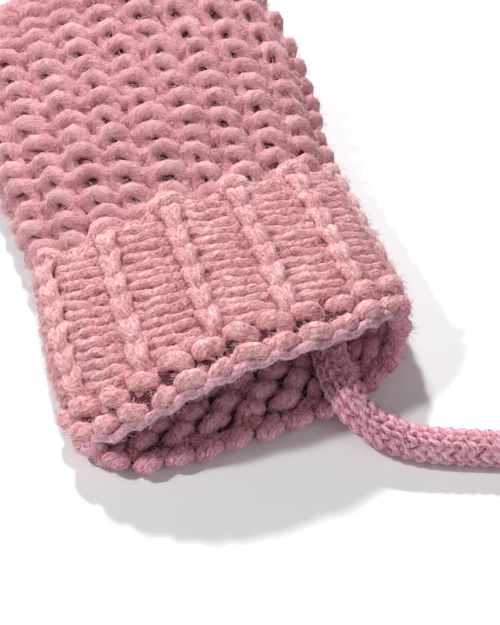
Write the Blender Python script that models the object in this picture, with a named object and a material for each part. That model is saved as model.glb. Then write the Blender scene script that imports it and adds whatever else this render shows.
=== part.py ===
"""A pair of knitted thumbless baby mittens joined by one knitted cord, lying flat.

Metres, +Z up.  The origin is on the floor, under the middle of the two mittens.
Both mittens point along +Y, with their open cuffs towards -Y.  The cord runs from
inside the left mitten to inside the right one, and its spare length lies before the
right mitten as a flat hank.
"""

import math
from collections import namedtuple

import bmesh
import bpy
import numpy as np
from mathutils import Vector

# ---- driving sizes -------------------------------------------------------------------
WALL = 0.0044  # thickness of the chunky knit
SEAM_GAP = 0.0003  # between pieces that are sewn or knitted together
CUFF_LENGTH = 0.050
HAND_LENGTH = 0.078
LENGTH = CUFF_LENGTH + HAND_LENGTH
HEM_NOSE = 0.0016  # how far the rounded hem stands out past its flat rim
HEM_Y = -(LENGTH - HEM_NOSE) / 2  # the flat rim of both hems
SPACING = 0.1225  # from the middle of one mitten to the middle of the other

STITCHES = 22  # round the mitten; one rib for every two
RIB_HEIGHT = 0.0011
RIB_TROUGH = 0.472  # one furrow's place, as a share of the way over the top
HEM_RIDGES = (0.0022, 0.0066)  # the two rows of bumps, from the hem
HEM_RIDGE_HEIGHT = 0.0008
HEM_RIDGE_WIDTH = 0.0013
HEM_BAND = 0.0092  # the bumps end and the ribs start here
RIB_FADE = 0.004  # the ribs rise to their full height over this length

CORD = 0.0070  # diameter
CORD_STEP = 0.009  # between the points of its plain tubes
FLOOR_CLEAR = 0.0001  # under the cord

# ---- sections across a mitten, from the hem to where the tip starts to close ----------
# along: distance from the hem.  half_width, height: outer size.  shift: the middle's
# place to the side, as the mitten lies in a slight curve.  left, right: height of the
# side edge.  full_left, full_right: how square the top is towards that side (1.4 is a
# pinched lens, 2 an ellipse, 3 nearly a box).  bow: how far the sides lie back from the
# middle.  set_back: how far the top lies back from the underside.
Section = namedtuple(
    "Section", "along half_width shift height left right full_left full_right bow set_back"
)
CUFF_SECTIONS = (
    Section(0.000, 0.0360, -0.0050, 0.0236, 0.0052, 0.0100, 1.55, 2.70, 0.0090, 0.0026),
    Section(0.012, 0.0362, -0.0043, 0.0236, 0.0056, 0.0098, 1.65, 2.60, 0.0080, 0.0020),
    Section(0.024, 0.0360, -0.0034, 0.0230, 0.0062, 0.0094, 1.80, 2.50, 0.0066, 0.0012),
    Section(0.036, 0.0352, -0.0022, 0.0220, 0.0068, 0.0088, 1.95, 2.40, 0.0050, 0.0006),
    Section(0.050, 0.0338, -0.0007, 0.0206, 0.0072, 0.0084, 2.05, 2.30, 0.0030, 0.0000),
)
HAND_SECTIONS = (
    Section(0.050, 0.0330, -0.0007, 0.0190, 0.0072, 0.0080, 2.10, 2.30, 0.0030, 0.0000),
    Section(0.058, 0.0340, 0.0002, 0.0198, 0.0074, 0.0080, 2.15, 2.30, 0.0024, 0.0000),
    Section(0.068, 0.0348, 0.0013, 0.0202, 0.0076, 0.0080, 2.15, 2.30, 0.0016, 0.0000),
    Section(0.078, 0.0354, 0.0024, 0.0200, 0.0076, 0.0078, 2.20, 2.25, 0.0008, 0.0000),
    Section(0.089, 0.0358, 0.0034, 0.0190, 0.0074, 0.0074, 2.20, 2.20, 0.0000, 0.0000),
    Section(0.100, 0.0358, 0.0042, 0.0174, 0.0070, 0.0070, 2.20, 2.20, 0.0000, 0.0000),
)
TIP_START = HAND_SECTIONS[-1].along
TIP_LENGTH = LENGTH - TIP_START
TIP_SQUARENESS = 2.4  # outline of the closed end, 2 is an ellipse
TIP_ROUNDNESS = 3  # of the closed end seen from the side
TIP_HEIGHT = 0.0095
TIP_EDGE = 0.0055
TIP_END = 0.998  # the last section's share of the way to the very tip
TIP_BULGE = 0.0004  # how far the drawn-together end stands out past it
BOW_LEFT = 5  # how late the bow sets in towards each side
BOW_RIGHT = 3
UNDER_SQUARENESS = 2.6
UNDER_FLATNESS = 1.16  # above 1 the underside is a true flat
THINNEST_HALF_WIDTH = 0.0012
THINNEST_HOLLOW = 0.0006

# ---- where the panels' sections stand --------------------------------------------------
CUFF_STATIONS = (0.0, 0.0022, 0.0044, 0.0066, 0.0090, 0.0130, 0.0210, 0.0300, 0.0400)
HAND_STATIONS = (0.0580, 0.0680, 0.0780, 0.0890)
TIP_SHARES = (0.0, 0.22, 0.42, 0.60, 0.75, 0.87, 0.95, 0.985, TIP_END)
CUFF_TOP_COLUMNS = 34
HAND_TOP_COLUMNS = 22
UNDER_COLUMNS = 14
SECTION_SAMPLES = 240

# ---- the cord ----------------------------------------------------------------------
# across: from the middle of the mitten it enters.  ahead: from that mitten's hem,
# inwards.  above: height of the cord's middle.
RoutePoint = namedtuple("RoutePoint", "across ahead above")
ON_FLOOR = CORD / 2 + FLOOR_CLEAR
ON_CUFF = WALL + SEAM_GAP + CORD / 2
LEFT_ROUTE = (
    RoutePoint(0.0150, 0.0190, ON_CUFF),
    RoutePoint(0.0138, 0.0118, ON_CUFF),
    RoutePoint(0.0118, 0.0050, ON_CUFF),
    RoutePoint(0.0113, -0.0010, 0.0081),
    RoutePoint(0.0126, -0.0050, 0.0066),
    RoutePoint(0.0158, -0.0095, 0.0048),
    RoutePoint(0.0204, -0.0130, 0.0038),
    RoutePoint(0.0262, -0.0160, ON_FLOOR),
    RoutePoint(0.0362, -0.0200, ON_FLOOR),
    RoutePoint(0.0430, -0.0243, ON_FLOOR),
    RoutePoint(0.0495, -0.0281, ON_FLOOR),
    RoutePoint(0.0551, -0.0293, ON_FLOOR),
)
RIGHT_ROUTE = (
    RoutePoint(0.0119, -0.0036, 0.0102),
    RoutePoint(0.0117, 0.0008, 0.0094),
    RoutePoint(0.0120, 0.0070, ON_CUFF),
    RoutePoint(0.0138, 0.0140, ON_CUFF),
    RoutePoint(0.0150, 0.0190, ON_CUFF),
)
# The hank lies crosswise before the right mitten.
HANK_LENGTH = 0.1060
HANK_WIDTH = 0.0490
HANK_HEIGHT = 0.0140
HANK_X = 0.0478  # its middle
HANK_TO_HEM = 0.0032
HANK_Y = HEM_Y - HEM_NOSE - HANK_TO_HEM - HANK_WIDTH / 2
HANK_END_STEPS = 16


def section_at(along):
    """The section at a distance from the hem, the rounded tip included."""
    rows = CUFF_SECTIONS if along < CUFF_LENGTH else HAND_SECTIONS
    stations = [row.along for row in rows]
    section = Section(*(float(np.interp(along, stations, column)) for column in zip(*rows)))
    if along <= TIP_START:
        return section
    share = min((along - TIP_START) / TIP_LENGTH, TIP_END)
    narrow = (1 - share**TIP_SQUARENESS) ** (1 / TIP_SQUARENESS)
    low = (1 - share**TIP_ROUNDNESS) ** (1 / TIP_ROUNDNESS)
    return section._replace(
        half_width=section.half_width * narrow,
        height=TIP_HEIGHT + (section.height - TIP_HEIGHT) * low,
        left=TIP_EDGE + (section.left - TIP_EDGE) * low,
        right=TIP_EDGE + (section.right - TIP_EDGE) * low,
    )


def hollow_along(along):
    """Where the inner point of a place stands, so that the tip has its wall too."""
    past = max(along - TIP_START, 0.0)
    return along - past * WALL / TIP_LENGTH


def section_point(section, angle, inset):
    """A point of the outer section, or of the one that lies inset further in.

    The angle runs from the right edge over the top to the left edge and back below.
    """
    to_right = math.cos(angle) >= 0
    edge = section.right if to_right else section.left
    half_width = max(section.half_width - inset, THINNEST_HALF_WIDTH)
    lie_back = 0.0
    if math.sin(angle) >= 0:
        full = section.full_right if to_right else section.full_left
        top = max(section.height - inset, edge + THINNEST_HOLLOW)
        rise = abs(math.sin(angle)) ** (2 / full)
        z = edge + (top - edge) * rise
        lie_back = section.set_back * rise
    else:
        full = UNDER_SQUARENESS
        drop = abs(math.sin(angle)) ** (2 / full) * UNDER_FLATNESS
        z = max(edge - (edge - inset) * drop, inset)
    across = math.copysign(abs(math.cos(angle)) ** (2 / full), math.cos(angle))
    lie_back += section.bow * abs(across) ** (BOW_RIGHT if to_right else BOW_LEFT)
    return Vector((section.shift + half_width * across, lie_back, z))


def even_angles(section, first, last, count):
    """Angles from first to last whose points are evenly spaced along the section."""
    fine = np.linspace(first, last, SECTION_SAMPLES)
    points = np.array([section_point(section, angle, 0.0) for angle in fine])
    steps = np.linalg.norm(np.diff(points, axis=0), axis=1)
    length = np.concatenate([[0.0], np.cumsum(steps)])
    return np.interp(np.linspace(0.0, length[-1], count), length, fine)


def cuff_relief(along, share):
    """How far the cuff's outer face stands out, at a share of the way over the top."""
    if along < HEM_BAND:
        rows = [math.exp(-(((along - ridge) / HEM_RIDGE_WIDTH) ** 2)) for ridge in HEM_RIDGES]
        return HEM_RIDGE_HEIGHT * sum(rows)
    ribs_over_top = STITCHES / 4
    to_ends = (along - HEM_BAND, CUFF_LENGTH + RIB_FADE / 2 - along)
    fade = min(1.0, min(to_ends) / RIB_FADE)
    return RIB_HEIGHT * fade * math.cos(2 * math.pi * ribs_over_top * (share - RIB_TROUGH) + math.pi)


def plain(along, share):
    return 0.0


def wall_panel(name, stations, angles, columns, relief, lift, has_nose, material):
    """One knitted panel: outer points, inner points one wall further in, and rims.

    A cuff panel's hem is rounded by one nose row, a hand panel's tip is shut by one row.
    """
    outer = []
    inner = []
    for along in stations:
        section = section_at(along)
        inner_along = hollow_along(along)
        middle = Vector((section.shift, 0.0, section.height / 2))
        outer_row = []
        inner_row = []
        for k, angle in enumerate(even_angles(section, *angles, columns)):
            point = section_point(section, angle, 0.0)
            outward = (point - middle) * Vector((1.0, 0.0, 1.0))
            outward.normalize()
            point += outward * relief(along, k / (columns - 1))
            outer_row.append(point + Vector((0.0, along, lift)))
            point = section_point(section, angle, WALL)
            inner_row.append(point + Vector((0.0, inner_along, lift)))
        outer.append(outer_row)
        inner.append(inner_row)
    if has_nose:
        nose = Vector((0.0, HEM_NOSE, 0.0))
        last_row = [(a + b) / 2 - nose for a, b in zip(outer[0], inner[0])]
        return closed_wall(name, outer + inner[::-1] + [last_row], material)
    tip_y = stations[-1] + TIP_BULGE
    last_row = [Vector((point.x, tip_y, point.z)) for point in inner[-1]]
    return closed_wall(name, inner[::-1] + outer + [last_row], material)


def closed_wall(name, rows, material):
    """Joins rows of points into a tube-like skin, last row to first, with side rims.

    The rows are one face of the wall, then the other face backwards, then one between.
    """
    body = bmesh.new()
    grid = [[body.verts.new(point) for point in row] for row in rows]
    for row, after in zip(grid, grid[1:] + grid[:1]):
        for quad in zip(row, row[1:], after[1:], after):
            body.faces.new(quad)
    for column in (0, -1):
        add_side_rim(body, [row[column] for row in grid])
    bmesh.ops.recalc_face_normals(body, faces=body.faces)
    mesh = bpy.data.meshes.new(name)
    body.to_mesh(mesh)
    body.free()
    mesh.materials.append(material)
    return bpy.data.objects.new(name, mesh)


def add_side_rim(body, loop):
    """Closes one side edge: quads between its two faces and a triangle at one end."""
    half = len(loop) // 2
    first = loop[:half]
    second = loop[half : 2 * half][::-1]
    for quad in zip(first, first[1:], second[1:], second):
        body.faces.new(quad)
    body.faces.new((first[0], second[0], loop[-1]))


def build_mitten(side, across, knit):
    """Cuff and hand, each with a top and an under panel that part along the sides."""
    half_gap = SEAM_GAP / 2
    cuff = CUFF_STATIONS + (CUFF_LENGTH - half_gap,)
    tip = tuple(TIP_START + TIP_LENGTH * share for share in TIP_SHARES)
    hand = (CUFF_LENGTH + half_gap,) + HAND_STATIONS + tip
    over = (0.0, math.pi)
    under = (-math.pi, 0.0)
    top_lift = SEAM_GAP
    panels = (
        wall_panel("cuff_top_" + side, cuff, over, CUFF_TOP_COLUMNS, cuff_relief, top_lift, True, knit),
        wall_panel("cuff_under_" + side, cuff, under, UNDER_COLUMNS, plain, 0.0, True, knit),
        wall_panel("hand_top_" + side, hand, over, HAND_TOP_COLUMNS, plain, top_lift, False, knit),
        wall_panel("hand_under_" + side, hand, under, UNDER_COLUMNS, plain, 0.0, False, knit),
    )
    for panel in panels:
        panel.location = (across, HEM_Y, 0.0)
    return panels


def smooth_route(route):
    """Points a step apart on a smooth curve through the route's own points."""
    own = np.array(route)
    ends = (2 * own[0] - own[1], 2 * own[-1] - own[-2])
    own = np.vstack([ends[0], own, ends[1]])
    fine = []
    for a, b, c, d in zip(own, own[1:], own[2:], own[3:]):
        for t in np.linspace(0.0, 1.0, 24, endpoint=False):
            linear = (c - a) * t
            square = (2 * a - 5 * b + 4 * c - d) * t**2
            cubic = (3 * b - a - 3 * c + d) * t**3
            fine.append(b + (linear + square + cubic) / 2)
    fine.append(own[-2])
    fine = np.array(fine)
    steps = np.linalg.norm(np.diff(fine, axis=0), axis=1)
    length = np.concatenate([[0.0], np.cumsum(steps)])
    count = max(4, round(length[-1] / CORD_STEP) + 1)
    places = np.linspace(0.0, length[-1], count)
    return np.column_stack([np.interp(places, length, axis) for axis in fine.T])


def build_cord(name, route, across, knit):
    """A plain tube along one stretch of the cord."""
    curve = bpy.data.curves.new(name, "CURVE")
    curve.dimensions = "3D"
    curve.bevel_depth = CORD / 2
    curve.bevel_resolution = 2
    curve.use_fill_caps = True
    points = smooth_route(route)
    spline = curve.splines.new("POLY")
    spline.points.add(len(points) - 1)
    for place, (x, y, z) in zip(spline.points, points):
        place.co = (across + x, HEM_Y + y, z, 1.0)
    curve.materials.append(knit)
    return bpy.data.objects.new(name, curve)


def build_hank(knit):
    """The outer shape of the folded spare cord: a flat block with round ends."""
    curve = bpy.data.curves.new("cord_hank", "CURVE")
    curve.dimensions = "2D"
    curve.fill_mode = "BOTH"
    curve.extrude = HANK_HEIGHT / 2
    radius = HANK_WIDTH / 2
    reach = HANK_LENGTH / 2 - radius
    outline = []
    for side in (1, -1):
        for k in range(HANK_END_STEPS + 1):
            turn = math.pi * (k / HANK_END_STEPS - 0.5)
            outline.append((side * (reach + radius * math.cos(turn)), side * radius * math.sin(turn)))
    spline = curve.splines.new("POLY")
    spline.points.add(len(outline) - 1)
    for place, (x, y) in zip(spline.points, outline):
        place.co = (x, y, 0.0, 1.0)
    spline.use_cyclic_u = True
    curve.materials.append(knit)
    hank = bpy.data.objects.new("cord_hank", curve)
    hank.location = (HANK_X, HANK_Y, HANK_HEIGHT / 2)
    return hank


def knit_finish(name, base_color):
    material = bpy.data.materials.new(name)
    material.use_nodes = True
    shader = material.node_tree.nodes["Principled BSDF"]
    shader.inputs["Base Color"].default_value = (*base_color, 1.0)
    shader.inputs["Roughness"].default_value = 0.95
    shader.inputs["Metallic"].default_value = 0.0
    return material


def main():
    for old in list(bpy.data.objects):
        bpy.data.objects.remove(old)
    collection = bpy.data.collections.new("mitten_pair")
    bpy.context.scene.collection.children.link(collection)
    knit = knit_finish("dusty_pink_knit", (0.62, 0.25, 0.27))
    cord_knit = knit_finish("dusty_pink_cord", (0.55, 0.21, 0.23))
    left, right = -SPACING / 2, SPACING / 2
    pieces = list(build_mitten("left", left, knit))
    pieces += build_mitten("right", right, knit)
    pieces.append(build_cord("cord_left_end", LEFT_ROUTE, left, cord_knit))
    pieces.append(build_hank(cord_knit))
    pieces.append(build_cord("cord_right_end", RIGHT_ROUTE, right, cord_knit))
    for piece in pieces:
        collection.objects.link(piece)


main()
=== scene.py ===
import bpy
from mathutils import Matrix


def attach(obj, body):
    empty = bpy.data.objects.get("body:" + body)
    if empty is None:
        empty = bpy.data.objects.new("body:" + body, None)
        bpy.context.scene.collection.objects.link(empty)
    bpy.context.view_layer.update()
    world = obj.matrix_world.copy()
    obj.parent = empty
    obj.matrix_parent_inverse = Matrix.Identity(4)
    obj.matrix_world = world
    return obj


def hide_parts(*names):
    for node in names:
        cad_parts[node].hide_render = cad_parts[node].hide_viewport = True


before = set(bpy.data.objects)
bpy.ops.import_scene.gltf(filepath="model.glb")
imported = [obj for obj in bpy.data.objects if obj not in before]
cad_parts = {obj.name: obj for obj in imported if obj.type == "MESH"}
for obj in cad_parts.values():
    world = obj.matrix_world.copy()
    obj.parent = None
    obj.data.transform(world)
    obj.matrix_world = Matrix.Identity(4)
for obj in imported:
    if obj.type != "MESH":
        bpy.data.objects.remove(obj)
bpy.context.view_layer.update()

import math
import bpy
import numpy as np
from mathutils import Vector

scene = bpy.context.scene

# the photo is taken from the front, a little left, looking down
cameraSetup = dict(
    azimuth=-22.0, elevation=50.0, distance=0.60, target=(-0.05835, -0.0365, 0.0075), lens=172.8,
    sensor=36.0, nearest=0.02,
)
lightSetup = dict(
    back=dict(place=(0.02, 0.52, 0.56), size=0.07, power=5.8, colour=(0.985, 0.985, 0.98)),
    left=dict(place=(-0.60, 0.14, 0.74), size=0.09, power=4.6, colour=(0.985, 0.985, 0.98)),
    fill=dict(place=(0.10, -0.70, 0.60), size=0.9, power=1.3, colour=(0.97, 0.97, 1.0)),
)
lightAim = (-0.05, -0.02, 0.0)  # between the left mitten and the cord
skySetup = dict(colour=(0.97, 0.97, 1.0, 1.0), strength=0.21)
floorSetup = dict(reach=3.0, colour=(0.915, 0.935, 0.938, 1.0), roughness=0.9)


def addObject(name, data):
    made = bpy.data.objects.new(name, data)
    scene.collection.objects.link(made)
    return made


def addCamera():
    turn = math.radians(cameraSetup["azimuth"])
    rise = math.radians(cameraSetup["elevation"])
    back = Vector((math.sin(turn) * math.cos(rise), -math.cos(turn) * math.cos(rise), math.sin(rise)))
    data = bpy.data.cameras.new("camera")
    data.lens = cameraSetup["lens"]
    data.sensor_width = cameraSetup["sensor"]
    data.clip_start = cameraSetup["nearest"]
    scene.camera = addObject("camera", data)
    scene.camera.location = Vector(cameraSetup["target"]) + back * cameraSetup["distance"]
    scene.camera.rotation_euler = (-back).to_track_quat("-Z", "Y").to_euler()


def addLights():
    world = bpy.data.worlds.new("studio")
    world.use_nodes = True
    background = world.node_tree.nodes["Background"]
    background.inputs["Color"].default_value = skySetup["colour"]
    background.inputs["Strength"].default_value = skySetup["strength"]
    scene.world = world
    for name, setup in lightSetup.items():
        data = bpy.data.lights.new(name + "Light", "AREA")
        data.shape = "DISK"
        data.size = setup["size"]
        data.energy = setup["power"]
        data.color = setup["colour"]
        lamp = addObject(name + "Light", data)
        lamp.location = setup["place"]
        lamp.rotation_euler = (Vector(lightAim) - lamp.location).to_track_quat("-Z", "Y").to_euler()


def addFloor():
    far = floorSetup["reach"]
    mesh = bpy.data.meshes.new("paleFloor")
    mesh.from_pydata([(-far, -far, 0), (far, -far, 0), (far, far, 0), (-far, far, 0)], [], [(0, 1, 2, 3)])
    paper = bpy.data.materials.new("whitePaper")
    paper.use_nodes = True
    shader = paper.node_tree.nodes["Principled BSDF"]
    shader.inputs["Base Color"].default_value = floorSetup["colour"]
    shader.inputs["Roughness"].default_value = floorSetup["roughness"]
    mesh.materials.append(paper)
    addObject("paleFloor", mesh)


addCamera()
addLights()
addFloor()
print("camera, lights and floor are set")

# the mitten's own shape, from the same tables as the solids
mitten = dict(
    length=0.128, hemY=-0.0632, spacing=0.1225, stitchesRound=22,
    # along, halfWidth, shift, height, left, right, fullLeft, fullRight, bow, setBack
    cuffRows=(
        (0.000, 0.0360, -0.0050, 0.0236, 0.0052, 0.0100, 1.55, 2.70, 0.0090, 0.0026),
        (0.012, 0.0362, -0.0043, 0.0236, 0.0056, 0.0098, 1.65, 2.60, 0.0080, 0.0020),
        (0.024, 0.0360, -0.0034, 0.0230, 0.0062, 0.0094, 1.80, 2.50, 0.0066, 0.0012),
        (0.036, 0.0352, -0.0022, 0.0220, 0.0068, 0.0088, 1.95, 2.40, 0.0050, 0.0006),
        (0.050, 0.0338, -0.0007, 0.0206, 0.0072, 0.0084, 2.05, 2.30, 0.0030, 0.0000),
    ),
    handRows=(
        (0.050, 0.0330, -0.0007, 0.0190, 0.0072, 0.0080, 2.10, 2.30, 0.0030, 0.0000),
        (0.058, 0.0340, 0.0002, 0.0198, 0.0074, 0.0080, 2.15, 2.30, 0.0024, 0.0000),
        (0.068, 0.0348, 0.0013, 0.0202, 0.0076, 0.0080, 2.15, 2.30, 0.0016, 0.0000),
        (0.078, 0.0354, 0.0024, 0.0200, 0.0076, 0.0078, 2.20, 2.25, 0.0008, 0.0000),
        (0.089, 0.0358, 0.0034, 0.0190, 0.0074, 0.0074, 2.20, 2.20, 0.0000, 0.0000),
        (0.100, 0.0358, 0.0042, 0.0174, 0.0070, 0.0070, 2.20, 2.20, 0.0000, 0.0000),
    ),
    tipStart=0.100, tipSquareness=2.4, tipRoundness=3.0, tipHeight=0.0095, tipEdge=0.0055, tipEnd=0.998,
    bowLeft=5, bowRight=3, underSquareness=2.6, underFlatness=1.16, thinnest=0.0012,
    finePoints=241,
)
axisOf = {"left": -mitten["spacing"] / 2, "right": mitten["spacing"] / 2}
guideSetup = dict(  # the surface that the yarn is wrapped on
    spans={"cuff": (-0.003, 0.054), "hand": (0.0435, 0.1439)}, alongStep=0.001,
    spare=2.0, stitchStep=0.2,  # in stitches; the spare ones lie past each end, so that every place is found
    edge=0.0005,  # the share of the guide that isn't used at its first and last row
)


def lengthAlong(line):
    return np.concatenate([[0.0], np.cumsum(np.linalg.norm(np.diff(line, axis=0), axis=1))])


def unit(vectors):
    return vectors / np.maximum(np.linalg.norm(vectors, axis=-1, keepdims=True), 1e-12)


def sectionAt(along, rows):
    table = np.array(rows)
    section = [float(np.interp(along, table[:, 0], column)) for column in table.T]
    section[0] = along
    if along <= mitten["tipStart"]:
        return section
    tipLength = mitten["length"] - mitten["tipStart"]
    share = min((along - mitten["tipStart"]) / tipLength, mitten["tipEnd"])
    narrow = (1 - share ** mitten["tipSquareness"]) ** (1 / mitten["tipSquareness"])
    low = (1 - share ** mitten["tipRoundness"]) ** (1 / mitten["tipRoundness"])
    section[1] *= narrow
    section[3] = mitten["tipHeight"] + (section[3] - mitten["tipHeight"]) * low
    for side in (4, 5):
        section[side] = mitten["tipEdge"] + (section[side] - mitten["tipEdge"]) * low
    return section


def sectionPoints(section, angles, inset):
    along, halfWidth, shift, height, left, right, fullLeft, fullRight, bow, setBack = section
    cosine, sine = np.cos(angles), np.sin(angles)
    toRight = cosine >= 0
    over = sine >= 0
    edge = np.where(toRight, right, left)
    half = max(halfWidth - inset, mitten["thinnest"])
    full = np.where(over, np.where(toRight, fullRight, fullLeft), mitten["underSquareness"])
    rise = np.abs(sine) ** (2 / full)
    top = np.maximum(height - inset, edge + mitten["thinnest"] / 2)
    zOver = edge + (top - edge) * rise
    zUnder = np.maximum(edge - (edge - inset) * rise * mitten["underFlatness"], inset)
    across = np.sign(cosine) * np.abs(cosine) ** (2 / full)
    lieBack = np.where(over, setBack * rise, 0.0)
    lieBack = lieBack + bow * np.abs(across) ** np.where(toRight, mitten["bowRight"], mitten["bowLeft"])
    past = max(along - mitten["tipStart"], 0.0)
    y = along - past * inset / (mitten["length"] - mitten["tipStart"]) + lieBack
    return np.stack([shift + half * across, y, np.where(over, zOver, zUnder)], axis=1)


def anglesRound(section, shares):  # shares: 0 right edge, 1 left edge over the top, 2 back at the right edge
    table = []
    for first, last in ((0.0, math.pi), (math.pi, 2 * math.pi)):
        fine = np.linspace(first, last, mitten["finePoints"])
        length = lengthAlong(sectionPoints(section, fine, 0.0))
        table.append((length / length[-1], fine))
    shares = np.asarray(shares) % 2.0
    over = np.interp(shares, *table[0])
    under = np.interp(shares - 1.0, *table[1])
    return np.where(shares <= 1.0, over, under)


def tipAlong(row):  # rows of the tip are spaced by turning, so that they crowd towards the closed end
    tipLength = mitten["length"] - mitten["tipStart"]
    past = max(row - mitten["tipStart"], 0.0)
    return row if past == 0 else mitten["tipStart"] + tipLength * math.sin(min(past / tipLength, math.pi / 2))


def surfaceGrid(rows, alongs, stitches, inset, axis):
    shares = np.asarray(stitches) / (mitten["stitchesRound"] / 2)
    grid = []
    for row in alongs:
        section = sectionAt(max(tipAlong(row), 0.0), rows)
        points = sectionPoints(section, anglesRound(section, shares), inset)
        points[:, 1] += min(row, 0.0) + mitten["hemY"]
        points[:, 0] += axis
        grid.append(points)
    return np.array(grid)


def gridFaces(rows, columns, closed):  # the faces of a grid and its point numbers, row by row
    index = np.arange(rows * columns).reshape(rows, columns)
    if closed:
        index = np.hstack([index, index[:, :1]])
    faces = np.stack([index[1:, :-1], index[1:, 1:], index[:-1, 1:], index[:-1, :-1]], axis=-1)
    return faces.reshape(-1, 4), index


def keepVectors(mesh, name, vectors):
    data = mesh.attributes.new(name, "FLOAT_VECTOR", "POINT").data
    data.foreach_set("vector", vectors.reshape(-1).astype(np.float32))


def clothGuide(part, axis):
    start, end = guideSetup["spans"][part]
    alongs = np.linspace(start, end, int((end - start) / guideSetup["alongStep"]) + 1)
    count, spare = mitten["stitchesRound"], guideSetup["spare"]
    stitches = np.arange(-spare, count + spare + 0.01, guideSetup["stitchStep"])
    grid = surfaceGrid(mitten[part + "Rows"], alongs, stitches, 0.0, axis)
    outward = unit(np.cross(np.gradient(grid, axis=0), np.gradient(grid, axis=1)))
    mesh = bpy.data.meshes.new(part + "Guide")
    mesh.from_pydata(grid.reshape(-1, 3).tolist(), [], gridFaces(*grid.shape[:2], False)[0].tolist())
    mesh.update()
    keepVectors(mesh, "outward", outward)
    flat = np.zeros((len(alongs), len(stitches), 3))
    flat[..., 0] = (stitches / (count + 2 * spare) + spare / (count + 2 * spare))[None, :]
    flat[..., 1] = ((alongs - start) / (end - start))[:, None]
    keepVectors(mesh, "flatPlace", flat)
    return addObject(part + "Guide", mesh)


# helpers that put one node into a tree and hand on what it gives
def feed(node, sockets):  # sockets: name or number -> value or output socket
    for key, value in dict(sockets).items():
        if isinstance(value, bpy.types.NodeSocket):
            node.id_data.links.new(value, node.inputs[key])
        else:
            node.inputs[key].default_value = value


def addNode(tree, kind, sockets=(), **settings):  # kind: the node's name, without GeometryNode before it
    whole = kind.startswith(("Shader", "Function", "NodeGroup"))
    node = tree.nodes.new(kind if whole else "GeometryNode" + kind)
    for key, value in settings.items():
        setattr(node, key, value)
    feed(node, sockets)
    return node


def fieldOf(tree, kind, sockets=(), output=0, **settings):
    return addNode(tree, kind, sockets, **settings).outputs[output]


def maths(operation, *values):
    tree = next(value.id_data for value in values if isinstance(value, bpy.types.NodeSocket))
    return fieldOf(tree, "ShaderNodeMath", dict(enumerate(values)), operation=operation)


def plus(a, b):
    return maths("ADD", a, b)


def minus(a, b):
    return maths("SUBTRACT", a, b)


def times(a, b):
    return maths("MULTIPLY", a, b)


def spread(value, reach):  # 0 to 1 becomes minus to plus half the reach
    return times(minus(value, 0.5), reach)


def shareBetween(value, low, high):  # 0 at low, 1 at high
    return fieldOf(value.id_data, "ShaderNodeMapRange", {"Value": value, "From Min": low, "From Max": high})


def summed(a, b):
    return fieldOf(a.id_data, "ShaderNodeVectorMath", {0: a, 1: b}, operation="ADD")


def scaled(vector, amount):
    return fieldOf(vector.id_data, "ShaderNodeVectorMath", {0: vector, 3: amount}, operation="SCALE")


def threeOf(tree, x=0.0, y=0.0, z=0.0):
    return fieldOf(tree, "ShaderNodeCombineXYZ", {0: x, 1: y, 2: z})


def partsOf(vector):
    return addNode(vector.id_data, "ShaderNodeSeparateXYZ", {0: vector}).outputs


def noiseAt(place, size, detail=1.0, roughness=0.5, seed=None, output=0):
    sockets = {"Vector": place, "Scale": size, "Detail": detail, "Roughness": roughness}
    if seed is None:
        return fieldOf(place.id_data, "ShaderNodeTexNoise", sockets, output)
    sockets["W"] = seed
    return fieldOf(place.id_data, "ShaderNodeTexNoise", sockets, output, noise_dimensions="4D")


def pointPlace(tree):
    return fieldOf(tree, "InputPosition")


def named(tree, name, kind="FLOAT"):
    return fieldOf(tree, "InputNamedAttribute", {"Name": name}, data_type=kind)


def stored(geometry, name, value, kind="FLOAT"):
    sockets = {"Geometry": geometry, "Name": name, "Value": value}
    settings = {"data_type": kind, "domain": "POINT"}
    return fieldOf(geometry.id_data, "StoreNamedAttribute", sockets, **settings)


def shapeOf(given):  # the shape of an object that the tree is given
    settings = {"output": "Geometry", "transform_space": "ORIGINAL"}
    return fieldOf(given.id_data, "ObjectInfo", {"Object": given}, **settings)


def newTree(name, **inputs):  # inputs: kind of socket -> names
    tree = bpy.data.node_groups.new(name, "GeometryNodeTree")
    tree.interface.new_socket("Geometry", in_out="INPUT", socket_type="NodeSocketGeometry")
    for kind, labels in inputs.items():
        for label in labels:
            tree.interface.new_socket(label, in_out="INPUT", socket_type="NodeSocket" + kind.capitalize())
    tree.interface.new_socket("Geometry", in_out="OUTPUT", socket_type="NodeSocketGeometry")
    return tree, tree.nodes.new("NodeGroupInput").outputs


def finishTree(geometry, finish):
    tree = geometry.id_data
    smooth = fieldOf(tree, "SetShadeSmooth", {"Geometry": geometry})
    real = fieldOf(tree, "RealizeInstances", {"Geometry": smooth})
    painted = fieldOf(tree, "SetMaterial", {"Geometry": real, "Material": finish})
    addNode(tree, "NodeGroupOutput", {0: painted})


def runTree(name, tree, base, values):  # puts the tree on a base object and returns a plain mesh object
    modifier = base.modifiers.new(name, "NODES")
    modifier.node_group = tree
    for item in tree.interface.items_tree:
        if item.item_type == "SOCKET" and item.in_out == "INPUT" and item.name in values:
            modifier[item.identifier] = values[item.name]
    graph = bpy.context.evaluated_depsgraph_get()
    mesh = bpy.data.meshes.new_from_object(base.evaluated_get(graph), depsgraph=graph)
    mesh.name = name
    base.modifiers.remove(modifier)
    return addObject(name, mesh)


# how the yarn runs in one stitch: across in stitch widths, up in course heights, out in metres from the cloth
def loopPath(neck, wide, height, sinkerOut, headOut, legOut, steps):
    path = []
    for k in range(steps + 1):
        t = k / steps
        swing = math.cos(2 * math.pi * t)
        across = t - 0.5 + neck * math.sin(4 * math.pi * t) - wide * math.sin(2 * math.pi * t)
        out = legOut + ((sinkerOut if swing > 0 else headOut) - legOut) * swing * swing
        path.append((across, -height / 2 * swing, out))
    return path


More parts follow.
